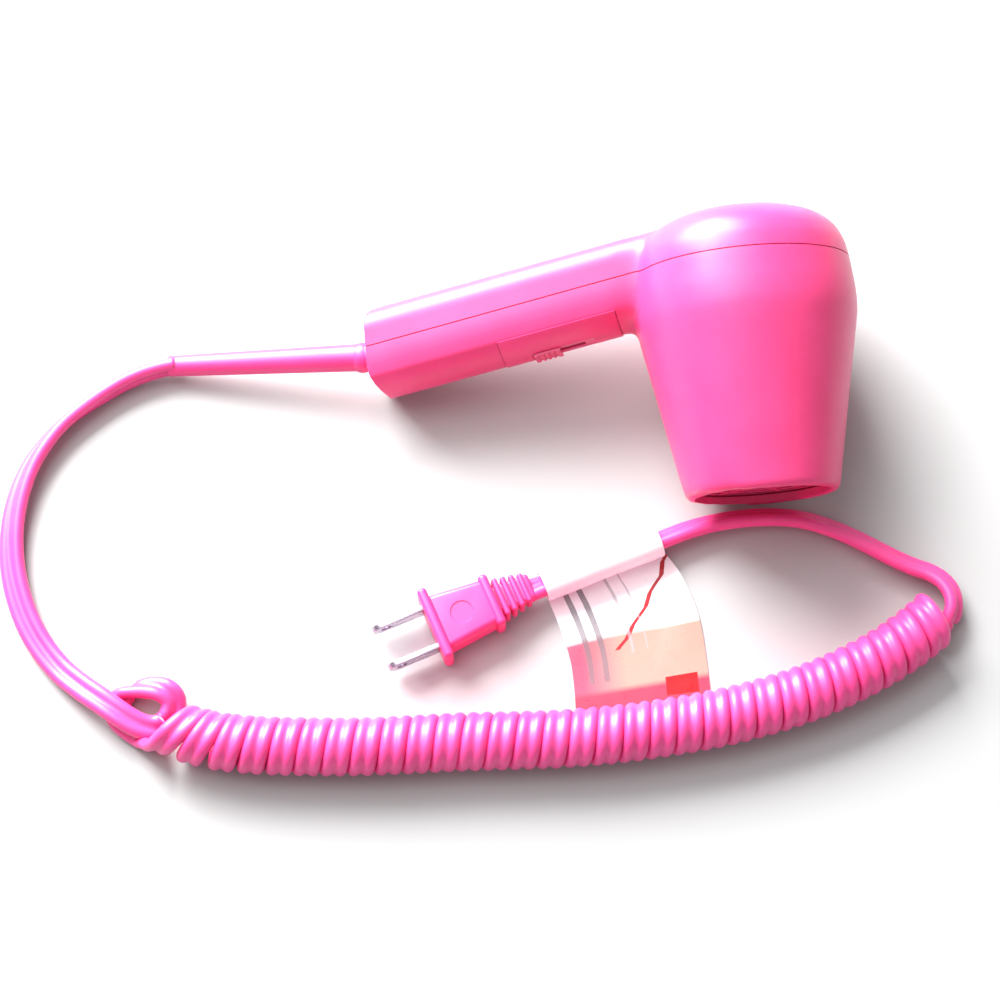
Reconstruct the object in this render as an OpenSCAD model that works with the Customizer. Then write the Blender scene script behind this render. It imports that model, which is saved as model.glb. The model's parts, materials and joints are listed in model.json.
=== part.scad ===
// Compact bathroom hair dryer, resting on its side with its curly cord.
// Every piece is a node of its own. Millimetres, Z up, the table is Z = 0.

/* [Barrel] */
// widest outer radius of the barrel, just ahead of the parting plane
head_r = 33.8; // [28:0.5:40]
// outer radius of the barrel at its mouth, before the lip rounding
mouth_r = 23.6; // [18:0.1:30]
// barrel length from the parting plane to the mouth
barrel_len = 70; // [55:0.5:90]
// height of the rear dome above the parting plane
dome_h = 18; // [12:0.5:26]
// wall of both housing shells
wall = 2; // [1.5:0.1:3]
// radius of the recess in the mouth that takes a push-on nozzle
nozzle_bore_r = 20.6; // [16:0.1:26]
// depth of that recess
nozzle_bore_len = 2.8; // [2:0.2:10]

/* [Handle] */
// width of the handle across its two side faces
grip_w = 27; // [22:0.5:34]
// depth of the handle on the rear cover's side of the parting plane
grip_top = 12.4; // [8:0.1:18]
// depth of the handle on the front shell's side of the parting plane
grip_low = 14.8; // [10:0.1:20]
// distance from the barrel axis to the handle's end face
grip_reach = 118; // [100:1:150]
// how far the handle leans towards the mouth, in degrees
grip_lean = 9.4; // [0:0.2:20]
// distance from the barrel axis to the bend in the parting plane
grip_bend_x = 32; // [26:1:40]

/* [Switch] */
// length of the switch plate along the handle
plate_len = 37; // [30:1:50]
// travel of the slider from off to high
slider_travel = 8; // [4:0.5:12]

/* [Fan and motor] */
// outer radius of the impeller
fan_r = 26.5; // [20:0.5:28]
// number of impeller blades
fan_blades = 7; // [5:1:11]
// outer radius of the motor can
motor_r = 12.2; // [10:0.1:14]
// radius of the motor shaft
shaft_r = 1; // [0.8:0.1:1.5]

/* [Heater] */
// half width of the crossed mica boards
board_half = 15.4; // [12:0.1:16]
// radius of the wound heating coil
coil_wind_r = 17; // [13:0.5:19]
// turns of the heating coil
heater_turns = 6; // [3:1:9]

/* [Cord and plug] */
// width of the flat two-core cord
cord_w = 8; // [6:0.1:10]
// thickness of the flat two-core cord
cord_t = 4; // [3:0.1:5]
// outer radius of the curled part of the cord
curl_r = 8.8; // [7:0.1:12]
// length of the tapered strain relief outside the handle
relief_len = 64; // [20:1:70]
// distance between the two plug blades
blade_gap = 12.7; // [12.7:0.1:12.7]
// length of the plug blades outside the plug face
blade_len = 16.5; // [15.9:0.1:18.3]

/* [Hidden] */
$fn = 72;

// resting pose: the barrel lies on its cone, the handle's end touches the table
cone_top_z = -20;
cone_low_z = 2.5 - barrel_len;
cone_r = head_r - 0.9;
rest_tilt = atan((cone_r - mouth_r) / (cone_top_z - cone_low_z));
axis_h = cone_r * cos(rest_tilt) - cone_top_z * sin(rest_tilt);
end_low_y = -20.5;
end_arm = (axis_h + end_low_y * sin(rest_tilt)) / cos(rest_tilt);
rest_swing = asin(end_arm / norm([grip_reach, grip_w / 2])) - atan(grip_w / 2 / grip_reach);
place_x = 42.4;
place_y = 26.4;

// parting plane along the handle, seen from the side
bend_slope = tan(grip_lean);
end_mid_z = -(grip_reach - grip_bend_x) * bend_slope - 0.4;
relief_bend = 3.5;
grip_len = (grip_reach - grip_bend_x) / cos(grip_lean);

// barrel and dome outlines as radius and height above the parting plane
dome_line = [[0, dome_h], [6, dome_h - 0.1], [12, dome_h - 0.6], [17.4, dome_h - 1.5],
             [22, dome_h - 2.9], [25.6, dome_h - 4.6], [28.4, dome_h - 6.9],
             [30.4, dome_h - 9.6], [31.7, dome_h - 12.6], [32.4, dome_h - 15.6], [32.7, 0]];
barrel_line = [[32.7, 0], [33.1, -3], [33.4, -6], [33.7, -9], [head_r, -12.5],
               [head_r - 0.2, -16], [cone_r, cone_top_z],
               [mouth_r, cone_low_z], [mouth_r - 0.3, 1.3 - barrel_len],
               [mouth_r - 0.9, 0.5 - barrel_len], [mouth_r - 1.7, 0.1 - barrel_len],
               [mouth_r - 2.1, -barrel_len], [mouth_r - 2.6, 0.2 - barrel_len],
               [nozzle_bore_r, 0.8 - barrel_len]];
bore_top_z = nozzle_bore_len - barrel_len;
cavity_line = [[0, dome_h - wall], [12, dome_h - 2.6], [17, dome_h - 3.5],
               [21.4, dome_h - 4.9], [24.5, dome_h - 6.5], [26.8, dome_h - 8.6],
               [28.5, dome_h - 11], [29.7, dome_h - 13.6], [30.4, dome_h - 16.2],
               [30.7, 0], [31.1, -4], [31.5, -9], [31.5, -14], [cone_r - wall, cone_top_z],
               [22.2, bore_top_z], [0, bore_top_z]];

// positions along the barrel axis
can_top = -5;
can_low = -29;
cap_low = -31.5;
grille_top = -64.2;
screw_x = [-4, -52];

// plug position and heading on the table
plug_face = [-60.6, -71.2, 6.5];
plug_turn = 198.7;
tag_turn = 17.6;

// cord routes: place of the centreline, then how far the flat cord is rolled on edge
lead_route = [[-137, 21.8, 4.8, 90], [-144, 20.4, 4.5, 90], [-151, 17.8, 4.3, 88],
              [-158, 14, 4.2, 84], [-165, 9.6, 4.2, 76], [-171.5, 4.6, 4.2, 66],
              [-177, -1.4, 4.2, 56], [-181.4, -8, 4.2, 46], [-184.6, -15.4, 4.2, 38],
              [-186.8, -23.4, 4, 30], [-187.8, -32, 3.8, 22], [-187.6, -41, 3.4, 14],
              [-186, -50, 3, 8], [-183.2, -58.6, 2.6, 4], [-179, -66.8, 2.4, 0],
              [-173.4, -74.4, 2.6, 0], [-167, -81, 4, 0], [-161, -86, 6.6, 0]];
curl_route = [[-161, -86, 6.6, 5], [-154, -91, 7.6, 7.4], [-146, -95.4, 8.7, 8.6],
              [-137, -98.6, 8.8, 8.8], [-126, -101.2, 8.8, 8.8], [-114, -103.4, 8.8, 8.8],
              [-99, -105, 8.8, 8.8], [-84, -106.2, 8.8, 8.8], [-69, -106.8, 8.8, 8.8],
              [-54, -107.2, 8.8, 8.8], [-39, -108, 8.8, 8.8], [-24, -108.6, 8.8, 8.8],
              [-9, -108.6, 8.8, 8.8], [6, -107.8, 8.8, 8.8], [21, -106.4, 8.8, 8.8],
              [35, -104.2, 8.8, 8.8], [49, -101, 8.8, 8.8], [63, -96.4, 8.8, 8.8],
              [77, -90.2, 8.8, 8.8], [89, -82.8, 8.8, 8.8], [97, -76.4, 8.8, 8.8]];
tail_route = [[97.6, -76, 8, 30], [101, -72.4, 6.6, 30], [100.6, -68.6, 5.4, 35],
              [96, -65.8, 4.6, 40], [88, -62.6, 4.5, 45], [81, -58.4, 4.5, 48],
              [73.5, -53.4, 4.5, 50], [65, -48.6, 4.5, 50], [56, -45, 4.5, 50],
              [46, -43.4, 4.5, 50], [34, -43.4, 4.5, 50], [23, -45, 4.6, 50],
              [12, -48.3, 5, 50], [-8, -54.7, 5.2, 50], [-22, -59.2, 5.6, 40],
              [-27.4, -60.8, 6, 30]];
// wire routes in the handset: X, height along the barrel axis, then sideways
live_route = [[-92, -14.9, 2.2], [-88, -13.6, 4.8], [-83, -12.6, 5.4], [-78.6, -11.8, 4.6],
              [-74, -11, 1.6], [-71.4, -10.4, 0]];
neutral_route = [[-92, -14.9, -2.2], [-84, -10, -4], [-74, -4, -6.6], [-62, -1, -8.6],
                 [-50, 0.5, -8.6], [-41, -1, -7.6], [-34, -4, -6.6], [-29.8, -9, -5.4],
                 [-29.3, -19.6, -5], [-28.4, -23.4, -4.9], [-26, -28, -4.4], [-21, -33, -3.4],
                 [-15, -35.4, -2.2]];
switched_route = [[-44.8, -6.2, 0], [-41, -6, 4.6], [-36, -6, 6.6], [-31.6, -8, 6.4],
                  [-29.4, -12, 5.8], [-29.2, -19.4, 5.2], [-28.3, -23.4, 4.9], [-26, -28, 4.4],
                  [-21, -33, 3.4], [-15, -35.4, 2.2]];

pink = [0.95, 0.26, 0.6];
steel = [0.72, 0.72, 0.75];
mica = [0.78, 0.7, 0.5];

// unit vector and its two side vectors for a sweep
function unit(v) = v / norm(v);
function heading(p, i) = unit(p[min(i + 1, len(p) - 1)] - p[max(i - 1, 0)]);
function flat_side(t) = unit([-t[1], t[0], 0]);
function up_side(t) = cross(t, flat_side(t));
function places(route) = [for (q = route) [q[0], q[1], q[2]]];
function rings(p, roll, a, b, sides) = [for (i = [0 : len(p) - 1]) for (k = [0 : sides - 1])
    let (t = heading(p, i), s = flat_side(t), u = up_side(t), r = roll[i],
         e = s * cos(r) + u * sin(r), f = u * cos(r) - s * sin(r),
         g = 360 * (k + 0.5) / sides)
    p[i] + e * a[i] * cos(g) + f * b[i] * sin(g)];
function skin(n, sides) = concat(
    [[for (k = [0 : sides - 1]) k]],
    [[for (k = [0 : sides - 1]) n * sides - 1 - k]],
    [for (i = [0 : n - 2]) for (k = [0 : sides - 1])
        [i * sides + k, (i + 1) * sides + k, (i + 1) * sides + (k + 1) % sides,
         i * sides + (k + 1) % sides]]);

// a tube swept along places p, rolled, with half sizes a and b
module sweep(p, roll, a, b, sides) {
    polyhedron(points = rings(p, roll, a, b, sides), faces = skin(len(p), sides),
               convexity = 8);
}

// handset frame (barrel axis Z, dome up, handle to -X) to its resting pose
module rest() {
    translate([place_x, place_y, axis_h])
    rotate([rest_tilt, 0, 0])
    rotate([0, -rest_swing, 0])
    rotate([-90, 0, 0])
    children();
}

// handle frame: X along the handle, the parting plane at Z = 0
module along_grip() {
    translate([-grip_bend_x, 0, 0])
    rotate([0, -grip_lean, 0])
    children();
}

module grip_bar(d, x0, x1) {
    rt = 7 - d;
    rl = 11 - d;
    w = grip_w / 2 - d;
    translate([x0, 0, 0])
    rotate([90, 0, 90])
    linear_extrude(x1 - x0) {
        for (s = [-1, 1]) {
            translate([s * (w - rt), grip_top - d - rt]) circle(rt);
            translate([s * (w - rl), rl + d - grip_low]) circle(rl);
        }
        translate([-w, rl + d - grip_low]) square([2 * w, grip_top + grip_low - 2 * d - rt - rl]);
        translate([rt - w, 0]) square([2 * (w - rt), grip_top - d]);
        translate([rl - w, d - grip_low]) square([2 * (w - rl), grip_low]);
    }
}

// rounded end of the handle, seen from the side and cut square to the cord
module grip_end_cut(d) {
    e = d - grip_reach;
    top_z = grip_top / cos(grip_lean) - (grip_reach - grip_bend_x) * bend_slope - d;
    low_z = d - grip_low / cos(grip_lean) - (grip_reach - grip_bend_x) * bend_slope;
    rotate([90, 0, 0])
    translate([0, 0, -grip_w])
    linear_extrude(2 * grip_w) {
        translate([e + 5, top_z - 4.2]) circle(5);
        translate([e + 11, low_z + 9.6]) circle(11);
        translate([e, low_z + 9.6]) square([20, top_z - low_z - 13.8]);
        translate([e + 5, top_z - 8]) square([160, 40]);
        translate([e + 11, low_z - 30]) square([160, 60]);
    }
}

module grip_solid(d) {
    intersection() {
        along_grip() grip_bar(d, -grip_len - 6, grip_bend_x - 6);
        grip_end_cut(d);
    }
}

// small web that rounds the inner corner between handle and barrel
module grip_web() {
    translate([-37.6, 10, -20.9])
    rotate([90, 0, 0])
    linear_extrude(20)
    difference() {
        square([6.8, 6.4]);
        circle(5);
    }
}

module body_solid() {
    rotate_extrude() polygon(concat(dome_line, barrel_line, [[0, 0.8 - barrel_len]]));
    grip_solid(0);
    grip_web();
}

module body_cavity() {
    rotate_extrude() polygon(cavity_line);
    difference() {
        grip_solid(wall);
        translate([0, 0, -50]) cylinder(h = 45, r = 25);
    }
}

// everything on the rear cover's side of the parting plane, gap is the joint line
module rear_side(gap) {
    rotate([90, 0, 0])
    translate([0, 0, -60])
    linear_extrude(120)
    polygon([[60, gap], [-grip_bend_x, gap], [-160, gap - (160 - grip_bend_x) * bend_slope],
             [-160, 60], [60, 60]]);
}

module relief_hole() {
    translate([-grip_reach - 5, 0, end_mid_z])
    rotate([0, 90, 0])
    cylinder(h = 12, r = 4.65);
}

module screw_bosses(low, high) {
    along_grip()
    for (x = screw_x)
        translate([x, 0, low]) cylinder(h = high - low, r = 3.2);
}

module screw_holes() {
    along_grip()
    for (x = screw_x) {
        translate([x, 0, -9]) cylinder(h = 25, r = 1.3);
        translate([x, 0, grip_top - 3]) cylinder(h = 6, r = 2.8);
    }
}

module front_shell() {
    color(pink)
    difference() {
        union() {
            difference() {
                body_solid();
                body_cavity();
            }
            screw_bosses(-13, 0);
            along_grip()
            for (s = [-1, 1])
                translate([-66, s * 7.4, -11.6]) cylinder(h = 5.6, r = 2.4);
        }
        rear_side(0);
        screw_holes();
        relief_hole();
        along_grip() plate_blank(1);
        along_grip() translate([-35.6, -2.6, -14]) cube([16.2, 5.2, 4]);
        translate([0, 0, -barrel_len - 1]) cylinder(h = nozzle_bore_len + 1, r = nozzle_bore_r);
        along_grip()
        for (s = [-1, 1])
            translate([-66, s * 7.4, -10]) cylinder(h = 8, r = 0.9);
        translate([4, -40, -8.5]) rotate([-90, 0, 0]) cylinder(h = 8, r = 0.7);
    }
}

module intake_slots() {
    for (r = [5, 8.6, 12.2, 15.8])
        rotate_extrude() translate([r, dome_h - 6]) square([2, 8]);
}

module slot_bars() {
    for (a = [0 : 60 : 300])
        rotate([0, 0, a])
        translate([3, -1, dome_h - 4.6]) cube([16, 2, 3.2]);
}

module rear_cover() {
    color(pink)
    difference() {
        intersection() {
            rear_side(0);
            union() {
                difference() {
                    body_solid();
                    body_cavity();
                    intake_slots();
                }
                intersection() {
                    body_solid();
                    slot_bars();
                }
                screw_bosses(0, 11.4);
                for (a = [30 : 120 : 270])
                    rotate([0, 0, a])
                    translate([19.4, 0, 11.6]) cylinder(h = 2.6, r = 1.5);
            }
        }
        screw_holes();
        relief_hole();
    }
}

module intake_screen() {
    color(steel)
    translate([0, 0, 10.8])
    difference() {
        cylinder(h = 0.8, r = 21.5);
        translate([0, 0, -1])
        for (x = [-15 : 5 : 15])
            for (y = [-15 : 5 : 15])
                if (norm([x, y]) < 19)
                    translate([x - 1.7, y - 1.7, 0]) cube([3.4, 3.4, 3]);
    }
}

module outlet_grille() {
    color(pink)
    translate([0, 0, grille_top - 2.5])
    difference() {
        union() {
            for (r = [[21.9, 18.9], [15.6, 13.8], [10.4, 8.6], [5.2, 0]])
                difference() {
                    cylinder(h = 2.5, r = r[0]);
                    if (r[1] > 0)
                        translate([0, 0, -1]) cylinder(h = 5, r = r[1]);
                }
            for (a = [15 : 60 : 315])
                rotate([0, 0, a])
                translate([4, -0.9, 0]) cube([15.5, 1.8, 2.5]);
        }
        translate([0, 0, -1]) cylinder(h = 5, r = 2);
    }
}

module fan_duct() {
    color([0.9, 0.9, 0.88])
    difference() {
        union() {
            difference() {
                translate([0, 0, -20]) cylinder(h = 23.5, r = 28.8);
                translate([0, 0, -21]) cylinder(h = 26, r = 27.4);
            }
            translate([0, 0, -20]) cylinder(h = 16, r = 13.8);
            for (a = [0 : 60 : 300])
                rotate([0, 0, a])
                translate([13, -0.7, -19]) cube([14.8, 1.4, 12]);
        }
        translate([0, 0, -21]) cylinder(h = 18, r = motor_r);
    }
}

module motor_can() {
    color(steel)
    difference() {
        translate([0, 0, can_low]) cylinder(h = can_top - can_low, r = motor_r);
        translate([0, 0, can_low - 1]) cylinder(h = can_top - can_low, r = motor_r - 1);
        translate([0, 0, can_top - 3]) cylinder(h = 5, r = 3);
    }
}

module motor_end_cap() {
    color([0.2, 0.2, 0.22])
    difference() {
        translate([0, 0, cap_low]) cylinder(h = can_low - cap_low, r = motor_r);
        translate([0, 0, cap_low - 1]) cylinder(h = 5, r = 3);
    }
}

module magnet(side) {
    color([0.25, 0.25, 0.28])
    translate([0, 0, -26])
    intersection() {
        difference() {
            cylinder(h = 18, r = motor_r - 1);
            translate([0, 0, -1]) cylinder(h = 20, r = 8.6);
        }
        translate([side > 0 ? 2.5 : -22.5, -20, -1]) cube([20, 40, 20]);
    }
}

module bush(z, h) {
    color([0.8, 0.65, 0.35])
    translate([0, 0, z])
    difference() {
        cylinder(h = h, r = 3);
        translate([0, 0, -1]) cylinder(h = h + 2, r = shaft_r + 0.03);
    }
}

module brush(side) {
    color([0.3, 0.28, 0.27])
    translate([-1, side > 0 ? 2.75 : -5.75, can_low]) cube([2, 3, 3.4]);
}

module motor_shaft() {
    color(steel)
    translate([0, 0, -31]) cylinder(h = 37, r = shaft_r);
}

module core_plan() {
    circle(3);
    for (a = [0 : 120 : 240])
        rotate(a) {
            translate([0, -1.2]) square([7.5, 2.4]);
            intersection() {
                difference() {
                    circle(8);
                    circle(6.6);
                }
                polygon([[0, 0], [12, -10], [12, 10]]);
            }
        }
}

module armature_core() {
    color([0.45, 0.45, 0.48])
    translate([0, 0, -22])
    linear_extrude(11)
    difference() {
        core_plan();
        circle(shaft_r);
    }
}

module armature_winding() {
    color([0.75, 0.4, 0.2])
    difference() {
        translate([0, 0, -23.5]) cylinder(h = 14, r = 6.4);
        translate([0, 0, -22]) linear_extrude(11) core_plan();
        translate([0, 0, -25]) cylinder(h = 17, r = shaft_r);
    }
}

module commutator() {
    color([0.8, 0.5, 0.3])
    translate([0, 0, -28.2])
    difference() {
        cylinder(h = 3.6, r = 2.6);
        translate([0, 0, -1]) cylinder(h = 6, r = shaft_r);
    }
}

module fan_impeller() {
    color([0.15, 0.15, 0.16])
    difference() {
        union() {
            translate([0, 0, -3]) cylinder(h = 10, r = 7);
            intersection() {
                difference() {
                    translate([0, 0, -2]) cylinder(h = 8, r = fan_r);
                    translate([0, 0, -3]) cylinder(h = 10, r = 6.8);
                }
                for (k = [0 : fan_blades - 1])
                    rotate([0, 0, k * 360 / fan_blades])
                    translate([6, 0, 2])
                    rotate([52, 0, 0])
                    translate([0, -12, -0.6]) cube([22, 24, 1.2]);
            }
        }
        translate([0, 0, -4]) cylinder(h = 10, r = shaft_r);
    }
}

module rectifier_board() {
    color([0.3, 0.5, 0.3])
    translate([0, 0, cap_low - 1.2]) cylinder(h = 1.2, r = 11);
}

module diode(k) {
    color([0.15, 0.15, 0.15])
    translate([-2.5, 4 * k - 7.1, cap_low - 3.4]) cube([5, 2.2, 2.2]);
}

module board_plate(slot_z) {
    difference() {
        translate([-board_half, -0.4, grille_top]) cube([2 * board_half, 0.8, 27.7]);
        translate([-0.4, -2, slot_z]) cube([0.8, 4, 14]);
    }
}

module heater_board_a() {
    color(mica) board_plate(grille_top - 0.1);
}

module heater_board_b() {
    color(mica) rotate([0, 0, 90]) board_plate(grille_top + 13.8);
}

module heater_coil() {
    n = heater_turns * 12;
    p = [for (i = [0 : n]) [coil_wind_r * cos(i * 30 + 10), coil_wind_r * sin(i * 30 + 10),
                            grille_top + 3 + i * 19 / n]];
    color([0.6, 0.55, 0.5])
    sweep(p, [for (q = p) 0], [for (q = p) 0.9], [for (q = p) 0.9], 6);
}

module mica_sleeve() {
    color(mica)
    rotate_extrude()
    polygon([[21, grille_top], [21.4, grille_top], [26, -36], [25.6, -36]]);
}

module thermostat() {
    color(steel)
    translate([4, 0.4, -52]) cube([9, 3, 6]);
}

module thermal_fuse() {
    color([0.85, 0.8, 0.7])
    translate([1.7, 8, -53]) cylinder(h = 10, r = 1.3, $fn = 24);
}

// curved plate on the handle's underside, standing d proud of it
module plate_blank(d) {
    difference() {
        intersection() {
            grip_bar(-d, -8.6 - plate_len, -8.6);
            translate([-60, -20, -20]) cube([60, 40, 10.4]);
        }
        grip_bar(1.5, -50, -5);
    }
}

module switch_plate() {
    color(pink)
    along_grip()
    difference() {
        plate_blank(0.3);
        translate([-37, -5, -17]) cube([20, 10, 2.7]);
        translate([-34.8, -1.8, -15]) cube([14.6, 3.6, 4]);
    }
}

module switch_body() {
    color([0.2, 0.2, 0.22])
    along_grip()
    difference() {
        translate([-40, -6.5, -11.8]) cube([26, 13, 10.8]);
        translate([-36.5, -4, -10]) cube([19, 8, 7]);
        translate([-34.8, -1.8, -12.4]) cube([14.6, 3.6, 4.4]);
    }
}

module switch_slider() {
    color(pink)
    along_grip() {
        difference() {
            translate([-36.4, -4.7, -15.5]) cube([8.4, 9.4, 1]);
            for (x = [-35, -33.4, -31.8, -30.2])
                translate([x, -5, -16.5]) cube([0.8, 10, 1.4]);
        }
        translate([-34.2, -1.4, -14.6]) cube([4, 2.8, 8.1]);
    }
}

module slider_contact() {
    color([0.8, 0.62, 0.3])
    along_grip() translate([-35, -3.4, -6.5]) cube([5.6, 6.8, 1]);
}

module capacitor() {
    color([0.85, 0.7, 0.2])
    along_grip() translate([-80, -5, 3.4]) cube([10, 10, 6]);
}

module cord_clamp() {
    color([0.2, 0.2, 0.22])
    along_grip()
    difference() {
        translate([-69, -10, -6]) cube([6, 20, 5]);
        translate([-70, -4.1, -7]) cube([8, 8.2, 4.1]);
        for (s = [-1, 1])
            translate([-66, s * 7.4, -7]) cylinder(h = 8, r = 1.1);
    }
}

module clamp_screw(side) {
    color(steel)
    along_grip() translate([-66, side * 7.4, 0]) {
        translate([0, 0, -1]) cylinder(h = 1.6, r = 2);
        translate([0, 0, -9]) cylinder(h = 8.2, r = 0.9);
    }
}

module housing_screw(x) {
    color(steel)
    along_grip() translate([x, 0, 0])
    difference() {
        union() {
            translate([0, 0, grip_top - 3]) cylinder(h = 1.8, r = 2.6);
            translate([0, 0, -8]) cylinder(h = grip_top + 5.1, r = 1.3);
        }
        translate([-1.8, -0.3, grip_top - 1.9]) cube([3.6, 0.6, 2]);
        translate([-0.3, -1.8, grip_top - 1.9]) cube([0.6, 3.6, 2]);
    }
}

module inner_lead() {
    color(pink)
    along_grip() translate([-81.4, -4, -6.9]) cube([19.4, 8, 4]);
}

module wire(route, tint) {
    color(tint)
    rotate([90, 0, 0])
    sweep(route, [for (q = route) 0], [for (q = route) 0.8], [for (q = route) 0.8], 6);
}

module strain_relief() {
    color(pink)
    translate([-grip_reach, 0, end_mid_z])
    rotate([0, -90, 0]) {
        translate([0, 0, -5]) cylinder(h = 6.6, r = 4.55);
        translate([0, 0, -4.4]) cylinder(h = 2.2, r = 6);
        translate([0, 0, 1.6]) sphere(4.8);
        rotate([0, relief_bend, 0]) cylinder(h = relief_len, r1 = 4.4, r2 = 3.3);
    }
}

module cord_tube(route, sides) {
    color(pink)
    sweep(places(route), [for (q = route) q[3]], [for (q = route) cord_w / 2],
          [for (q = route) cord_t / 2], sides);
}

module cord_curl() {
    color(pink)
    sweep(places(curl_route), [for (q = curl_route) 0], [for (q = curl_route) q[3]],
          [for (q = curl_route) q[3]], 12);
}

// plug frame: X points out along the blades from the plug's face
module at_plug() {
    translate(plug_face) rotate([0, 0, plug_turn]) children();
}

module plug_body() {
    color(pink)
    at_plug()
    difference() {
        union() {
            translate([-3, -11.6, -6.4]) cube([3, 23.2, 12.8]);
            translate([0, 0, -5.2]) linear_extrude(10.4)
                polygon([[-3, -8.8], [-3, 8.8], [-19, 7], [-19, -7]]);
            translate([-19, -8.5, -5.8]) cube([2.6, 17, 11.6]);
            translate([-33.4, -4.2, -3]) cube([15.4, 8.4, 6]);
            for (k = [0 : 3])
                translate([-21.6 - 3.4 * k, -6.2 + 0.5 * k, -4.4 + 0.3 * k])
                cube([2.2, 12.4 - k, 8.8 - 0.6 * k]);
        }
        for (s = [-1, 1])
            translate([-6, s * blade_gap / 2 - 0.75, -3.15]) cube([7, 1.5, 6.3]);
    }
}

module plug_blade(side) {
    color(steel)
    at_plug()
    translate([0, side * blade_gap / 2, 0])
    rotate([90, 0, 0])
    translate([0, 0, -0.75])
    linear_extrude(1.5)
    difference() {
        polygon([[-6, -3.15], [blade_len - 2, -3.15], [blade_len, -1.6], [blade_len, 1.6],
                 [blade_len - 2, 3.15], [-6, 3.15]]);
        translate([blade_len - 4.2, 0]) circle(1.6);
    }
}

module cord_tag() {
    color([0.96, 0.94, 0.95]) {
        translate([-25, -60.1, 5.4])
        rotate([0, 0, tag_turn])
        rotate([90, 0, 90])
        linear_extrude(38)
        difference() {
            circle(5.2);
            circle(4.8);
        }
        linear_extrude(0.4)
        polygon([[-24.5, -61], [12, -49.6], [15.6, -55], [19.4, -63], [21.8, -72.5],
                 [22.4, -83.2], [22.6, -101], [-20, -102], [-19, -82], [-21.3, -73]]);
    }
}

rest() front_shell();
rest() rear_cover();
rest() intake_screen();
rest() outlet_grille();
rest() fan_duct();
rest() motor_can();
rest() motor_end_cap();
rest() magnet(1);  // magnet_a
rest() magnet(-1);  // magnet_b
rest() bush(can_top - 1, 2);  // bush_front
rest() bush(cap_low, can_low - cap_low);  // bush_rear
rest() brush(1);  // brush_a
rest() brush(-1);  // brush_b
rest() motor_shaft();
rest() armature_core();
rest() armature_winding();
rest() commutator();
rest() fan_impeller();
rest() rectifier_board();
rest() diode(0);  // diode_a
rest() diode(1);  // diode_b
rest() diode(2);  // diode_c
rest() diode(3);  // diode_d
rest() heater_board_a();
rest() heater_board_b();
rest() heater_coil();
rest() mica_sleeve();
rest() thermostat();
rest() thermal_fuse();
rest() switch_plate();
rest() switch_body();
rest() switch_slider();
rest() slider_contact();
rest() capacitor();
rest() cord_clamp();
rest() clamp_screw(1);  // clamp_screw_a
rest() clamp_screw(-1);  // clamp_screw_b
rest() housing_screw(screw_x[0]);  // housing_screw_a
rest() housing_screw(screw_x[1]);  // housing_screw_b
rest() inner_lead();
rest() wire(live_route, [0.2, 0.2, 0.2]);  // wire_live
rest() wire(neutral_route, [0.9, 0.9, 0.9]);  // wire_neutral
rest() wire(switched_route, [0.8, 0.1, 0.1]);  // wire_switched
rest() strain_relief();
cord_tube(lead_route, 12);  // cord_lead
cord_curl();
cord_tube(tail_route, 12);  // cord_tail
plug_body();
plug_blade(1);  // plug_blade_a
plug_blade(-1);  // plug_blade_b
cord_tag();
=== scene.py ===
# %% [markdown]
# # A compact hair dryer on a table
# The handset lies on its side: the cone of the barrel and the end of the handle
# touch the table. Its flat two-core cord is partly wound into a curl and ends in
# a two-blade plug. Everything here is in metres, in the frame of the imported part.

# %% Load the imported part
import json
import math

import bmesh
import bpy
from mathutils import Matrix, Vector
from mathutils.kdtree import KDTree

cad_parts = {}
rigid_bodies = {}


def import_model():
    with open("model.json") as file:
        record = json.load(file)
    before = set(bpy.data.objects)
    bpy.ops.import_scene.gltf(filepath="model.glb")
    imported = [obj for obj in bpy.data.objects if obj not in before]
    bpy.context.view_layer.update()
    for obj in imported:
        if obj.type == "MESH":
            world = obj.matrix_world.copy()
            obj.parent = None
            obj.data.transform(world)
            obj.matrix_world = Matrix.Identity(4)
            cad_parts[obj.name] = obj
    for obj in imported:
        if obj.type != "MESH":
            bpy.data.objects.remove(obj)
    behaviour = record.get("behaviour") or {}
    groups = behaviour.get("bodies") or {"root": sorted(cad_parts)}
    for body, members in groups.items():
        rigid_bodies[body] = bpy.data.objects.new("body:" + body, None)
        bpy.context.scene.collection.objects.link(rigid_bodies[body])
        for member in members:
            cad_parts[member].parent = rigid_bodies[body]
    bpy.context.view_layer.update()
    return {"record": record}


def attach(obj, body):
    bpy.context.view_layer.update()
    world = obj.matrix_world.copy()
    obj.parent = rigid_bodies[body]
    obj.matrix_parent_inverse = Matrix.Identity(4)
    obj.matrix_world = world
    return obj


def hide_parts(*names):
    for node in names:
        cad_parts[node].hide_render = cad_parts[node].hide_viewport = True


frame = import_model()
MM = 0.001

# %% [markdown]
# ## The handset's own axes
# The handset is tipped and rolled to lie on the table, so its pieces are easier
# to think about in its own axes. The fan's joint gives the barrel axis, and the
# slider's joint gives the run of the handle. Both come from the record.

# %% Axes of the barrel and of the handle
joints = {j["name"]: j for j in frame["record"]["behaviour"]["joints"]}
hub = Vector(joints["fan_spin"]["pos_m"])
up_barrel = Vector(joints["fan_spin"]["axis"]).normalized()
along_grip = Vector(joints["switch_slide"]["axis"]).normalized()
side = up_barrel.cross(along_grip).normalized()
across = side.cross(up_barrel).normalized()
barrel_frame = Matrix.Translation(hub) @ Matrix((across, side, up_barrel)).transposed().to_4x4()
print("barrel axis", tuple(round(v, 4) for v in up_barrel), "side", tuple(round(v, 4) for v in side))

# %% [markdown]
# ## Camera
# A long lens from well above and a little in front, so the flat cord and the
# plug read almost as in plan while the front faces still show as a dark band.

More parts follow.
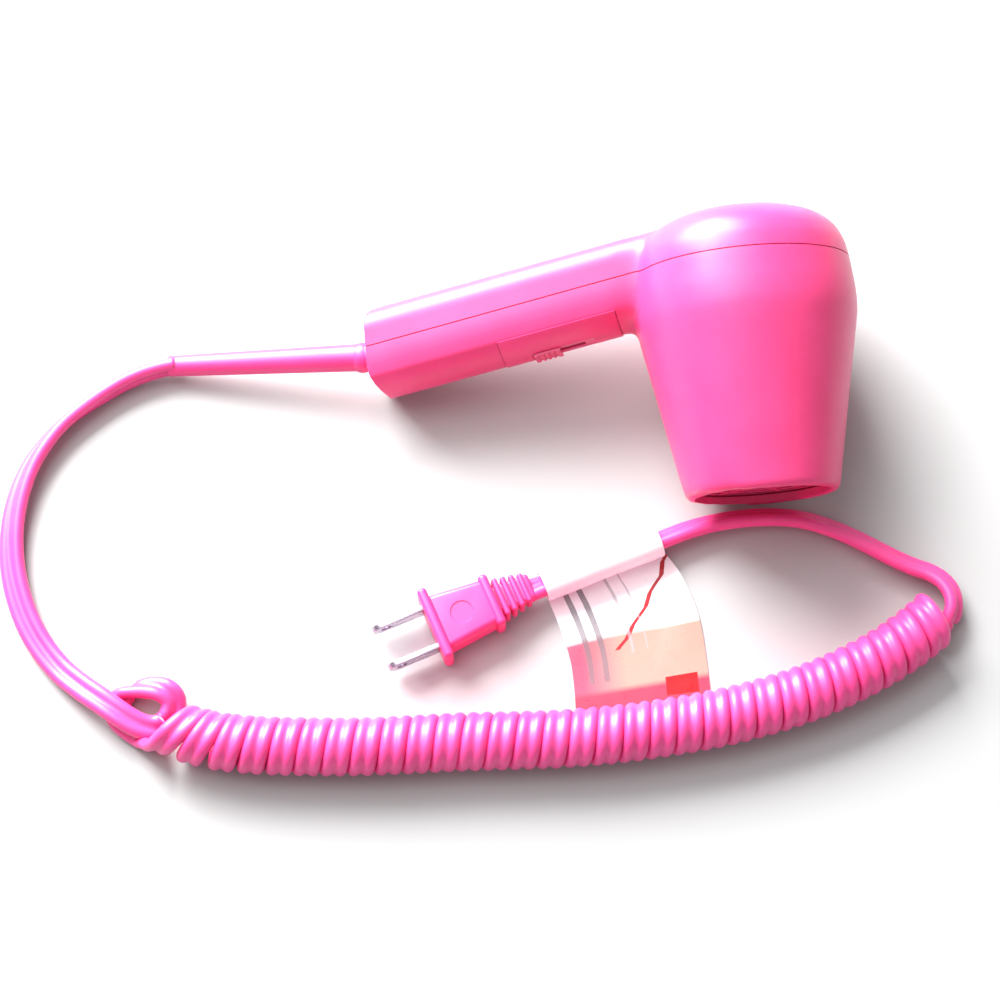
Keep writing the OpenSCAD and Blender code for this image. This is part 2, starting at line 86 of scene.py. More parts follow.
# %% The camera
camera = bpy.data.objects.new("camera", bpy.data.cameras.new("camera"))
bpy.context.scene.collection.objects.link(camera)
camera.data.lens = 80.64
camera.data.sensor_width = 36.0
camera.location = (-0.0538, -0.2476, 0.665)
camera.rotation_euler = (math.radians(90 - 71.8), 0, math.radians(-4.6))
bpy.context.scene.camera = camera

# %% [markdown]
# ## The cord's route
# The cord is one length of flat two-core flex. It is described by the points its
# centreline passes and by the direction in which its wide side points there. The
# straight stretches are typed in; the curl is worked out turn by turn, because a
# wound cord is a helix laid on a curved axis.

# %% Points of the loose stretches, in millimetres, with the roll of the flat side
LEAD = [(-134.5, 21.4, 5.2, 90), (-137, 21.3, 4.8, 90), (-144, 20, 4.5, 90), (-151, 17.6, 4.3, 88),
        (-158, 14, 4.2, 84), (-165, 9.6, 4.2, 76), (-171.5, 4.6, 4.2, 66),
        (-177, -1.4, 4.2, 56), (-181.4, -8, 4.2, 46), (-184.6, -15.4, 4.2, 38),
        (-186.8, -23.4, 4, 30), (-187.8, -32, 3.8, 22), (-187.6, -41, 3.4, 14),
        (-186, -50, 3, 8), (-183.2, -58.6, 2.6, 4), (-179, -66.8, 2.6, 0),
        (-173.4, -74.4, 3.4, 0), (-167, -80.6, 5.6, 0), (-161, -85.6, 7.2, 0),
        (-155, -90.6, 7.4, -8), (-149.6, -95, 6, -12)]
TAIL = [(99.6, -79.6, 7.2, 60), (100.8, -75.2, 7.6, 55), (99.6, -70.6, 6.8, 50),
        (95.6, -66.4, 5.4, 48), (88, -62.6, 4.6, 48), (81, -58.4, 4.5, 48),
        (73.5, -53.4, 4.5, 50), (65, -48.6, 4.5, 50), (56, -45, 4.5, 50),
        (46, -43.4, 4.5, 50), (34, -43.4, 4.5, 50), (23, -45, 4.6, 50),
        (12, -48.3, 5, 50), (-8, -54.7, 5.2, 50), (-22, -59.2, 5.6, 40),
        (-27.4, -60.8, 6, 30), (-31, -62, 6.4, 20)]
LOOP = [(-145.5, -96.6, 4.2), (-142.2, -95.2, 2.3), (-140.6, -92, 2.1), (-139.5, -88.8, 3),
        (-139.9, -85.8, 5), (-142.4, -83.5, 6), (-146.6, -82.3, 5.2), (-151.4, -82.4, 4.2),
        (-156, -83.8, 3), (-159.6, -86.6, 2.2), (-158, -90, 2.1), (-152.4, -94.2, 2.1),
        (-147.4, -98.2, 2.3)]
CURL = [(-140, -96.6), (-133, -99), (-126, -101.2), (-114, -103.4),
        (-99, -105), (-84, -106.2), (-69, -106.8), (-54, -107.2), (-39, -108), (-24, -108.6),
        (-9, -108.6), (6, -107.8), (21, -106.4), (35, -104.2), (49, -101), (63, -96.4),
        (77, -90.2), (89, -82.8), (97, -76.4)]
# where two stretches meet, and how many points each way are rounded off
CORNERS = [((-145, -96.4, 4), 11), ((-159.6, -87, 2.1), 9), ((-144.4, -102.4, 8.7), 9), ((97.5, -83.4, 5.6), 9),
           ((100.4, -74, 7.4), 9)]
CORD_W, CORD_T = 8.0, 4.0
CURL_R = 8.8 - CORD_T / 2
TURN_POINTS = 24
# 29 whole turns and most of one more, so the last ends where the tail leaves it
CURL_STEPS = 29 * TURN_POINTS + 22
PITCH = 8.0


# %% Smooth curves through typed points
def smooth_through(points, step):
    """Points of a Catmull-Rom curve through the given ones, about step apart."""
    pts = [Vector(p) for p in points]
    ends = [pts[0] * 2 - pts[1], *pts, pts[-1] * 2 - pts[-2]]
    out = []
    for a, b, c, d in zip(ends, ends[1:], ends[2:], ends[3:]):
        n = max(2, round((c - b).length / step))
        for i in range(n):
            t = i / n
            out.append(0.5 * (2 * b + (c - a) * t + (2 * a - 5 * b + 4 * c - d) * t * t
                              + (3 * b - a - 3 * c + d) * t * t * t))
    out.append(pts[-1])
    return out


def curl_turns():
    """The wound stretch: centreline points and the way the wide side points."""
    axis = smooth_through([(x, y, 0) for x, y in CURL], 0.5)
    runs = [0.0]
    for a, b in zip(axis, axis[1:]):
        runs.append(runs[-1] + (b - a).length)

    def at(s):
        k = next((i for i, r in enumerate(runs) if r >= s), len(runs) - 1)
        k = max(1, k)
        t = (s - runs[k - 1]) / (runs[k] - runs[k - 1])
        return axis[k - 1].lerp(axis[k], t), (axis[k] - axis[k - 1]).normalized()

    places, wide = [], []
    for i in range(CURL_STEPS + 1):
        angle = math.radians(-100) + math.tau * i / TURN_POINTS
        s = 1.0 + i * PITCH / TURN_POINTS
        mid, run = at(s)
        out = Vector((-run.y, run.x, 0))
        slant = 4.2 * math.exp(-s / 9.0)
        p = mid + Vector((0, 0, CURL_R + CORD_T / 2))
        p += CURL_R * (math.cos(angle) * Vector((0, 0, 1)) + math.sin(angle) * out)
        places.append(p + run * slant * math.sin(angle))
        wide.append(run)
    print("turns in the curl", round(CURL_STEPS / TURN_POINTS, 1), "over", round(runs[-1]), "mm")
    return places, wide


def rolled(points, headings):
    """Wide side of a loose stretch, from its typed roll angle."""
    out = []
    for (x, y, z, roll), t in zip(points, headings):
        flat = Vector((-t.y, t.x, 0)).normalized()
        up = t.cross(flat).normalized()
        r = math.radians(roll)
        out.append(flat * math.cos(r) + up * math.sin(r))
    return out


def heading_list(p):
    return [(p[min(i + 1, len(p) - 1)] - p[max(i - 1, 0)]).normalized() for i in range(len(p))]


# %% Join the stretches into one route
curl, curl_wide = curl_turns()
lead = [Vector(p[:3]) for p in LEAD]
tail = [Vector(p[:3]) for p in TAIL]
loop = [Vector(p) for p in LOOP]
knots = lead + loop + curl + tail
wides = rolled(LEAD, heading_list(lead))
wides += [Vector((0, 0, 0))] * len(loop)
wides += curl_wide
wides += rolled(TAIL, heading_list(tail))
route = smooth_through(knots, 1.4)


def wide_along(route_points):
    """Carry the wide side along the route, nudged towards the typed ones."""
    where = []
    k = 0
    for i, q in enumerate(knots):
        while (route_points[k] - q).length > 1e-5:
            k += 1
        if wides[i].length > 0:
            where.append((k, wides[i]))
    heads = heading_list(route_points)
    out = []
    last = where[0][1]
    j = 0
    for i, t in enumerate(heads):
        while j + 2 < len(where) and i >= where[j + 1][0]:
            j += 1
        (ka, wa), (kb, wb) = where[j], where[j + 1]
        if wa.dot(last) < 0:
            wa = -wa
        if wb.dot(wa) < 0:
            wb = -wb
        f = min(1, max(0, (i - ka) / (kb - ka)))
        w = wa.lerp(wb, f)
        w = (w - t * w.dot(t)).normalized()
        if w.dot(last) < 0:
            w = -w
        out.append(w)
        last = w
    return out


# %% Round off the corners and rest the cord on the table
def eased(points, near, reach, rounds=30):
    """The route with the corner nearest to one place rounded off."""
    k = min(range(len(points)), key=lambda i: (points[i] - Vector(near)).length)
    out = list(points)
    for _ in range(rounds):
        before = list(out)
        for i in range(max(1, k - reach), min(len(out) - 1, k + reach)):
            fade = 0.5 * (1 - ((i - k) / reach) ** 2)
            out[i] = before[i].lerp((before[i - 1] + before[i + 1]) / 2, fade)
    return out


wide = wide_along(route)
for corner, reach in CORNERS:
    route = eased(route, corner, reach)
wide = [(w - t * w.dot(t)).normalized() for w, t in zip(wide, heading_list(route))]
# how far each ring would sink into the table, spread over its neighbours
sunk = [max(0, CORD_T / 2 + abs(w.z) * CORD_W / 4 - p.z) for p, w in zip(route, wide)]
worst = [max(sunk[max(0, i - 4):i + 5]) for i in range(len(sunk))]
for i, p in enumerate(route):
    near = worst[max(0, i - 4):i + 5]
    p.z += sum(near) / len(near)
length = sum((b - a).length for a, b in zip(route, route[1:])) * MM
print("cord", round(length, 3), "m in", len(route), "rings")


# %% Section of the flex: two round cores side by side with a web between
def flex_section():
    out = []
    for sx in (1, -1):
        for k in range(-5, 6):
            a = math.radians(k * 25)
            out.append((sx * (2 + 2 * math.cos(a)), sx * 2 * math.sin(a)))
        out.append((0, sx * 1.1))
    return out


# %% Sweep the section along the route
def sweep(name, points, sides, section):
    mesh = bpy.data.meshes.new(name)
    heads = heading_list(points)
    verts = []
    for p, t, e in zip(points, heads, sides):
        f = t.cross(e)
        verts += [(p + e * x + f * y) * MM for x, y in section]
    n = len(section)
    faces = [[i * n + k, (i + 1) * n + k, (i + 1) * n + (k + 1) % n, i * n + (k + 1) % n]
             for i in range(len(points) - 1) for k in range(n)]
    faces.append(list(range(n)))
    faces.append([(len(points) - 1) * n + n - 1 - k for k in range(n)])
    mesh.from_pydata(verts, [], faces)
    mesh.validate()
    obj = bpy.data.objects.new(name, mesh)
    bpy.context.scene.collection.objects.link(obj)
    bm = bmesh.new()
    bm.from_mesh(mesh)
    bmesh.ops.recalc_face_normals(bm, faces=bm.faces)
    bm.to_mesh(mesh)
    bm.free()
    for f in mesh.polygons:
        f.use_smooth = True
    return obj


cord = sweep("curly_cord", route, wide, flex_section())
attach(cord, "handset")
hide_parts("cord_lead", "cord_curl", "cord_tail")
[p * MM for p in route]


# %% [markdown]
# ## Ways of making the hard pieces
# The moulded pieces are simple forms joined and cut: an outline turned about an
# axis, an outline pulled along a line, and booleans between them. They are made
# in millimetres in the barrel's own axes, where every number is a plain one, and
# are laid on the table only when they are finished.

# %% Selecting one thing at a time
def only(obj):
    bpy.ops.object.select_all(action="DESELECT")
    obj.select_set(True)
    bpy.context.view_layer.objects.active = obj


def outline(name, points, closed):
    """A chain of points joined by edges, selected and ready to be turned or pulled."""
    mesh = bpy.data.meshes.new(name)
    n = len(points)
    chain = [(i, i + 1) for i in range(n - 1)]
    mesh.from_pydata(points, chain + [(n - 1, 0)] * closed, [])
    obj = bpy.data.objects.new(name, mesh)
    bpy.context.scene.collection.objects.link(obj)
    only(obj)
    return obj


def tidy_solid():
    """Inside edit mode: weld the doubles and turn every face outwards."""
    bpy.ops.mesh.select_all(action="SELECT")
    bpy.ops.mesh.remove_doubles(threshold=0.002)
    bpy.ops.mesh.normals_make_consistent(inside=False)
    bpy.ops.object.mode_set(mode="OBJECT")


# %% Turned and pulled solids
def turned(name, profile, steps=144, closed=False):
    """A profile of (radius, height) points spun about the barrel axis."""
    obj = outline(name, [(r, 0, z) for r, z in profile], closed)
    bpy.ops.object.mode_set(mode="EDIT")
    bpy.ops.mesh.select_all(action="SELECT")
    bpy.ops.mesh.spin(steps=steps, angle=math.tau, center=(0, 0, 0), axis=(0, 0, 1))
    tidy_solid()
    return obj


def pulled(name, points, run):
    """A closed outline filled and pulled along a vector."""
    obj = outline(name, points, True)
    bpy.ops.object.mode_set(mode="EDIT")
    bpy.ops.mesh.select_all(action="SELECT")
    bpy.ops.mesh.edge_face_add()
    bpy.ops.mesh.extrude_region_move(TRANSFORM_OT_translate={"value": run})
    tidy_solid()
    return obj


def rod(name, r, z0, z1, at=(0, 0), steps=48):
    """An upright round bar from z0 to z1."""
    bpy.ops.object.select_all(action="DESELECT")
    bpy.ops.mesh.primitive_cylinder_add(vertices=steps, radius=r, depth=z1 - z0,
                                        location=(at[0], at[1], (z0 + z1) / 2))
    obj = bpy.context.object
    obj.name = name
    bpy.ops.object.transform_apply(location=True, rotation=True, scale=True)
    return obj


def block(name, lo, hi, round_off=0.0, segments=3):
    """A box between two corners, its edges rounded."""
    bpy.ops.object.select_all(action="DESELECT")
    mid = [(a + b) / 2 for a, b in zip(lo, hi)]
    bpy.ops.mesh.primitive_cube_add(size=1, location=mid)
    obj = bpy.context.object
    obj.name = name
    obj.scale = [b - a for a, b in zip(lo, hi)]
    bpy.ops.object.transform_apply(location=True, rotation=True, scale=True)
    if round_off:
        bpy.ops.object.mode_set(mode="EDIT")
        bpy.ops.mesh.select_all(action="SELECT")
        bpy.ops.mesh.bevel(offset=round_off, segments=segments, affect="EDGES")
        bpy.ops.object.mode_set(mode="OBJECT")
    return obj


# %% Joining and cutting
def combine(base, other, how="DIFFERENCE"):
    only(base)
    mod = base.modifiers.new("cut", "BOOLEAN")
    mod.operation = how
    mod.object = other
    mod.solver = "MANIFOLD"
    bpy.ops.object.modifier_apply(modifier=mod.name)
    bpy.data.objects.remove(other)
    return base


def placed(obj, matrix):
    obj.data.transform(matrix)
    obj.data.update()
    return obj


def smooth_shaded(obj, degrees=32):
    only(obj)
    bpy.ops.object.shade_smooth_by_angle(angle=math.radians(degrees))
    return obj


# %% Frames: the handle leans, and the whole handset lies on the table
GRIP_LEAN, GRIP_BEND = 9.4, 32
# where the handle ends, and the run over which it drops by its lean
GRIP_END, LEAN_RUN = 116, 86
grip = Matrix.Translation((-GRIP_BEND, 0, 0)) @ Matrix.Rotation(math.radians(-GRIP_LEAN), 4, "Y")
on_table = barrel_frame @ Matrix.Scale(MM, 4)
lean_slope = math.tan(math.radians(GRIP_LEAN))
print("handle leans", GRIP_LEAN, "degrees")

# %% [markdown]
# ## The outer form of the housing
# The barrel is a turned form: a low dome, a rounded shoulder and a straight cone
# to a rolled lip. The handle is a long form with a rounded back, slightly bowed
# flanks and a crease where the flank meets the curved underside. On the real
# moulding the two flow into each other. A boolean union alone leaves a hard
# corner, so the joined form is remeshed in even small squares, drawn back onto
# the exact form, and then relaxed only around the joint.

# %% Turned outline of barrel and dome
DOME = [(0, 18), (3, 17.98), (6, 17.9), (9, 17.7), (12, 17.4), (14.8, 17), (17.4, 16.5), (19.8, 15.9),
        (22, 15.1), (23.9, 14.3), (25.6, 13.4), (27.1, 12.3), (28.4, 11.1), (29.5, 9.8), (30.4, 8.4),
        (31.1, 6.9), (31.7, 5.4), (32.1, 3.9), (32.4, 2.4), (32.6, 1.2)]
BARREL = [(32.75, 0), (32.95, -1.5), (33.12, -3), (33.28, -4.5), (33.44, -6), (33.58, -7.5), (33.7, -9),
          (33.78, -10.8), (33.8, -12.5), (33.74, -14.5), (33.58, -16.2), (33.3, -18), (32.9, -20.2),
          (29.8, -35.6), (26.7, -51.6), (23.6, -67.5), (23.45, -68.2), (23.2, -68.8), (22.8, -69.4),
          (22.3, -69.75), (21.7, -69.97), (21.2, -69.95), (20.8, -69.6), (20.6, -69.2), (0, -69.2)]


def section(d):
    """Right half of the handle's section, shrunk by d, from its back to its underside."""
    half = [(0, 12.4 - d)]
    for k in range(9):
        a = math.radians(90 - k * 11.25)
        half.append((6.5 + (7 - d) * math.cos(a), 5.4 + (7 - d) * math.sin(a)))
    for k in range(6):
        a = math.radians(k * 3.5)
        half.append((-11.5 + (25 - d) * math.cos(a), -1 - (25 - d) * math.sin(a)))
    half.append((12.05 - 0.876 * d, -9.4 + 0.521 * d))
    for k in range(1, 9):
        a = math.radians(48.3 * (1 - k / 9))
        half.append(((16.14 - d) * math.sin(a), 1.34 - (16.14 - d) * math.cos(a)))
    half.append((0, -14.8 + d))
    return half


def both_sides(half):
    return half + [(-y, z) for y, z in reversed(half[1:-1])]


def grip_end(d):
    """Side outline that rounds the handle's free end, cut square to the cord."""
    e = d - GRIP_END
    top = 12.4 / math.cos(math.radians(GRIP_LEAN)) - LEAN_RUN * lean_slope - d
    low = d - 14.8 / math.cos(math.radians(GRIP_LEAN)) - LEAN_RUN * lean_slope
    pts = [(40, 60), (e + 5, 60)]
    for k in range(9):
        a = math.radians(90 + k * 11.25)
        pts.append((e + 5 + 5 * math.cos(a), top - 4.2 + 5 * math.sin(a)))
    for k in range(13):
        a = math.radians(180 + k * 7.5)
        pts.append((e + 11 + 11 * math.cos(a), low + 9.6 + 11 * math.sin(a)))
    return pts + [(e + 11, -80), (40, -80)]


def handle_form(name, d, x1):
    bar = pulled(name, [(-100, y, z) for y, z in both_sides(section(d))], (100 + x1, 0, 0))
    placed(bar, grip)
    end = pulled("end", [(x, -30, z) for x, z in grip_end(d)], (0, 60, 0))
    return combine(bar, end, "INTERSECT")


# %% Join, remesh, draw back and relax the joint
body = turned("housing", DOME + BARREL)
combine(body, handle_form("handle", 0, 26), "UNION")
exact = body.copy()
exact.data = body.data.copy()
bpy.context.scene.collection.objects.link(exact)

joint_line = []
bm = bmesh.new()
bm.from_mesh(body.data)
for e in bm.edges:
    if len(e.link_faces) == 2 and e.calc_face_angle_signed(0) < math.radians(-12):
        mid = (e.verts[0].co + e.verts[1].co) / 2
        if -48 < mid.x < -12:
            n = max(1, round(e.calc_length() / 0.5))
            joint_line += [e.verts[0].co.lerp(e.verts[1].co, k / n) for k in range(n + 1)]
bm.free()
near_joint = KDTree(len(joint_line))
for i, p in enumerate(joint_line):
    near_joint.insert(p, i)
near_joint.balance()

placed(body, grip.inverted())
only(body)
body.data.remesh_voxel_size = 0.7
bpy.ops.object.voxel_remesh()
placed(body, grip)
wrap = body.modifiers.new("draw back", "SHRINKWRAP")
wrap.target = exact
wrap.wrap_method = "NEAREST_SURFACEPOINT"
bpy.ops.object.modifier_apply(modifier=wrap.name)
bpy.data.objects.remove(exact)
blend = body.vertex_groups.new(name="joint")
for v in body.data.vertices:
    gap = near_joint.find(v.co)[2]
    if gap < 9:
        blend.add([v.index], min(1.0, (9 - gap) / 4), "REPLACE")
relax = body.modifiers.new("relax the joint", "SMOOTH")
relax.vertex_group = "joint"
relax.iterations = 70
bpy.ops.object.modifier_apply(modifier=relax.name)
print("housing form", len(body.data.polygons), "faces, joint points", len(joint_line))

# %% [markdown]
# ## Walls, openings and the parting line
# The moulding is two millimetres thick. The hollow, the mouth, the pockets and
# the holes are cut out, screw bosses are put back inside, and then the shell is
# split along the parting line into the front shell and the rear cover, with a
# fine gap between them.

# %% Hollow out the form
HOLLOW = [(0, 16), (12, 15.4), (17, 14.5), (21.4, 13.1), (24.5, 11.5), (26.8, 9.4), (28.5, 7), (29.7, 4.4),
          (30.4, 1.8), (30.7, 0), (31.1, -4), (31.5, -9), (31.5, -14), (30.9, -20.2), (22.2, -67.2),
          (20.6, -67.2), (20.6, -74), (0, -74)]
hollow = turned("hollow", HOLLOW)
inner = handle_form("inner handle", 2, -2)
combine(hollow, inner, "UNION")
combine(body, hollow)

# %% Bosses, pockets and holes
SCREWS = (-4, -52)
for x in SCREWS:
    combine(body, placed(rod("boss", 3.2, -13, 11.4, (x, 0)), grip), "UNION")
for x in SCREWS:
    combine(body, placed(rod("screw hole", 1.35, -9, 20, (x, 0)), grip))
    combine(body, placed(rod("screw seat", 2.8, 9.4, 20, (x, 0)), grip))


def plate_outline(out, inside):
    """Band along the underside of the handle, from one crease to the other."""
    outer = [p for p in both_sides(section(-out)) if p[1] < -9.5]
    under = [p for p in both_sides(section(inside)) if p[1] < -9.5 + 0.6 * inside]
    outer.sort()
    under.sort()
    return outer + under[::-1]


pocket = pulled("pocket", [(-45.8, y, z) for y, z in plate_outline(1.2, 1.5)], (37.4, 0, 0))
combine(body, placed(pocket, grip))
combine(body, placed(block("stem hole", (-35.6, -2.6, -14), (-19.4, 2.6, -10)), grip))
# a shallow dimple on the barrel, near the parting line
dimple = rod("dimple", 0.7, 33.45, 40, (4, -8.5))
combine(body, placed(dimple, Matrix.Rotation(math.radians(90), 4, "X")))
relief_z = -LEAN_RUN * lean_slope - 0.4
relief_hole = rod("relief hole", 4.7, 110, 125)
along_handle = Matrix.Translation((0, 0, relief_z)) @ Matrix.Rotation(math.radians(-90), 4, "Y")
combine(body, placed(relief_hole, along_handle))

# %% Air slots in the dome
for r in (5, 8.6, 12.2, 15.8):
    combine(body, turned("slot", [(r, 11), (r + 2, 11), (r + 2, 22), (r, 22)], 96, True))
for k in range(6):
    bar = block("bar", (4, -1, 13.3), (18.6, 1, 15.6))
    combine(body, placed(bar, Matrix.Rotation(math.radians(60 * k), 4, "Z")), "UNION")
print("hollow housing", len(body.data.polygons), "faces")


# %% Split along the parting line
def above_parting(gap):
    pts = [(60, gap), (-GRIP_BEND, gap), (-160, gap - 128 * lean_slope), (-160, 60), (60, 60)]
    return pulled("above", [(x, -60, z) for x, z in pts], (0, 120, 0))


rear = body.copy()
rear.data = body.data.copy()
rear.name = "rear_cover_form"
bpy.context.scene.collection.objects.link(rear)
combine(rear, above_parting(0.16), "INTERSECT")
combine(body, above_parting(-0.16))
body.name = "front_shell_form"
for shell, node in ((body, "front_shell"), (rear, "rear_cover")):
    placed(shell, on_table)
    smooth_shaded(shell)
    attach(shell, "handset")
    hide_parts(node)
    print(shell.name, len(shell.data.polygons), "faces")

# %% [markdown]
# ## Switch plate
# A thin curved plate hugs the underside of the handle between the creases. Its
# long edge stands a hair proud and catches the light. The slider's track is a
# shallow channel with a slot through it.

# %% The plate and its track
plate = pulled("switch_plate_form", [(-45.6, y, z) for y, z in plate_outline(0.3, 1.4)], (37, 0, 0))
combine(plate, block("track", (-37, -5, -17), (-17, 5, -14.3), 0.4))
combine(plate, block("slot", (-34.8, -1.8, -16), (-20.2, 1.8, -11)))
only(plate)
rounding = plate.modifiers.new("rounding", "BEVEL")
rounding.width = 0.22
rounding.segments = 2
rounding.limit_method = "ANGLE"
rounding.angle_limit = math.radians(50)
bpy.ops.object.modifier_apply(modifier=rounding.name)
placed(plate, on_table @ grip)
smooth_shaded(plate)
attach(plate, "handset")
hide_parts("switch_plate")
print("switch plate", len(plate.data.polygons), "faces")

# %% [markdown]
# ## Plug
# The plug is one moulding: a wide front flange with the two blades, a body that
# narrows, a second flange to pull on, and a ribbed neck.

# %% Plug body
plug_turn = Matrix.Translation((-60.6, -71.2, 6.5)) @ Matrix.Rotation(math.radians(198.7), 4, "Z")
plug = block("plug_form", (-3, -11.6, -6.4), (0, 11.6, 6.4), 1.3, 5)
wedge = pulled("wedge", [(-2, -8.9, -5.2), (-2, 8.9, -5.2), (-20, 7.1, -5.2), (-20, -7.1, -5.2)], (0, 0, 10.4))
only(wedge)
bpy.ops.object.mode_set(mode="EDIT")
bpy.ops.mesh.select_all(action="SELECT")
bpy.ops.mesh.bevel(offset=1.7, segments=5, affect="EDGES")
bpy.ops.object.mode_set(mode="OBJECT")
combine(plug, wedge, "UNION")
combine(plug, block("pull flange", (-21.6, -8.5, -5.8), (-18.6, 8.5, 5.8), 1.35, 5), "UNION")
combine(plug, block("neck", (-33.4, -4.2, -3), (-18, 4.2, 3), 1.2, 4), "UNION")
for k in range(4):
    x = -24.0 - 2.6 * k
    w, h = 6.2 - 0.45 * k, 4.7 - 0.3 * k
    combine(plug, block("rib", (x, -w, -h), (x + 1.85, w, h), 0.88, 5), "UNION")
for side_y in (-6.35, 6.35):
    combine(plug, block("blade slot", (-6.2, side_y - 0.76, -3.2), (1, side_y + 0.76, 3.2)))
thumb = turned("thumb rest", [(0, 4.95), (3.4, 4.95), (3.75, 5.6), (0, 5.6)], 48)
combine(plug, placed(thumb, Matrix.Translation((-10.2, 0, 0))))
placed(plug, Matrix.Scale(MM, 4) @ plug_turn)
smooth_shaded(plug, 35)
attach(plug, "handset")
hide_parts("plug_body")
print("plug", len(plug.data.polygons), "faces")

# %% [markdown]
# ## Plug blades
# Two stamped strips with a hole near the tip. Stamping rounds the edges, and that
# rounding is what shows on bright metal, so each blade is a strip with its tip
# corners and long edges bevelled and its hole cut through.

# %% The two blades
for name, side_y in (("plug_blade_a", 6.35), ("plug_blade_b", -6.35)):
    tip = [(-6, -3.15), (14, -3.15), (15.6, -2.3), (16.5, -1.1), (16.5, 1.1), (15.6, 2.3), (14, 3.15), (-6, 3.15)]
    blade = pulled(name + "_form", [(x, side_y - 0.75, z) for x, z in tip], (0, 1.5, 0))
    hole = placed(rod("hole", 1.6, -9, 9, steps=40), Matrix.Rotation(math.radians(90), 4, "X"))
    combine(blade, placed(hole, Matrix.Translation((12.3, 0, 0))))
    only(blade)
    edge = blade.modifiers.new("stamped edge", "BEVEL")
    edge.width = 0.28
    edge.segments = 3
    edge.limit_method = "ANGLE"
    edge.angle_limit = math.radians(50)
    bpy.ops.object.modifier_apply(modifier=edge.name)
    placed(blade, Matrix.Scale(MM, 4) @ plug_turn)
    smooth_shaded(blade, 40)
    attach(blade, "handset")
    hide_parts(name)
    print(blade.name, len(blade.data.polygons), "faces")

# %% [markdown]
# ## Tag
# A printed film is wrapped once round the cord beside the plug and stuck to
# itself, and the rest of it lies on the table and under the curl. It is one
# sheet: rows run along the cord, and columns run round it and out to the edge.

# %% The wrapped film
TAG_FROM, TAG_TO = Vector((-25.5, -60.3, 0)), Vector((11.2, -48.7, 0))
tag_run = (TAG_TO - TAG_FROM).normalized()
tag_out = Vector((tag_run.y, -tag_run.x, 0))
FLAP_LEFT = [(-24.3, -63, 1.2), (-22.6, -68, 0.35), (-20.6, -75, 0.3),
             (-19, -83, 0.3), (-18.6, -92, 0.3), (-18.9, -101, 0.3)]
FLAP_RIGHT = [(13.4, -51.8, 1.2), (16.6, -56.6, 0.35), (19.4, -64, 0.3),
              (21.6, -73, 0.3), (22.4, -84, 0.3), (22.6, -100, 0.3)]
ROWS = 36


def tag_row(t):
    """Points of the film across one place t along the cord, from its top round to its outer edge."""
    base = TAG_FROM.lerp(TAG_TO, t)
    pts = []
    for k in range(15):
        a = math.radians(-110 + k * 20)
        r = 4.75 + 0.12 * math.sin(t * 9)
        pts.append(base + Vector((0, 0, 5.6)) + r * (math.sin(-a) * tag_out * -1 + math.cos(a) * Vector((0, 0, 1))))
    left, right = smooth_through(FLAP_LEFT, 2.2), smooth_through(FLAP_RIGHT, 2.2)
    n = min(len(left), len(right))
    for k in range(n):
        u = k / (n - 1)
        p = left[round(u * (len(left) - 1))].lerp(right[round(u * (len(right) - 1))], t)
        wave = 0.5 * math.sin(7 * t + 3 * u) * math.exp(-((u - 0.35) / 0.3) ** 2)
        pts.append(p + Vector((0, 0, max(0, wave))))
    return pts


grid = [tag_row(i / ROWS) for i in range(ROWS + 1)]
cols = len(grid[0])
tag_mesh = bpy.data.meshes.new("cord_tag_film")
tag_mesh.from_pydata([p * MM for row in grid for p in row], [],
                     [(i * cols + k, (i + 1) * cols + k, (i + 1) * cols + k + 1, i * cols + k + 1)
                      for i in range(ROWS) for k in range(cols - 1)])
film = bpy.data.objects.new("cord_tag_film", tag_mesh)
bpy.context.scene.collection.objects.link(film)
uv = tag_mesh.uv_layers.new(name="print")
for poly in tag_mesh.polygons:
    for li in poly.loop_indices:
        row, col = divmod(tag_mesh.loops[li].vertex_index, cols)
        uv.data[li].uv = (row / ROWS, max(0.0, col - 11) / (cols - 12))
only(film)
bpy.ops.object.mode_set(mode="EDIT")
bpy.ops.mesh.select_all(action="SELECT")
bpy.ops.mesh.normals_make_consistent(inside=False)
bpy.ops.object.mode_set(mode="OBJECT")
thick = film.modifiers.new("film", "SOLIDIFY")
thick.thickness = 0.25 * MM
thick.offset = 0
bpy.ops.object.modifier_apply(modifier=thick.name)
smooth_shaded(film, 50)
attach(film, "handset")
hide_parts("cord_tag")
print("tag", len(film.data.polygons), "faces", cols, "columns")

# %% [markdown]
# ## Finishes
# A finish is a small graph of shader nodes. The helper class below wraps a socket
# so that sums and products of patterns can be written as plain expressions, and
# one method adds every other kind of node.

# %% A socket that does arithmetic
class Signal:
    def __init__(self, finish, socket):
        self.finish, self.socket = finish, socket

    def math(self, how, other, flip=False):
        pair = (other, self) if flip else (self, other)
        return self.finish.node("ShaderNodeMath", {"operation": how}, {0: pair[0], 1: pair[1]})

    def __add__(self, o):
        return self.math("ADD", o)

    def __sub__(self, o):
        return self.math("SUBTRACT", o)

    def __rsub__(self, o):
        return self.math("SUBTRACT", o, True)

    def __mul__(self, o):
        return self.math("MULTIPLY", o)

    def most(self, o):
        return self.math("MAXIMUM", o)

    __radd__, __rmul__ = __add__, __mul__


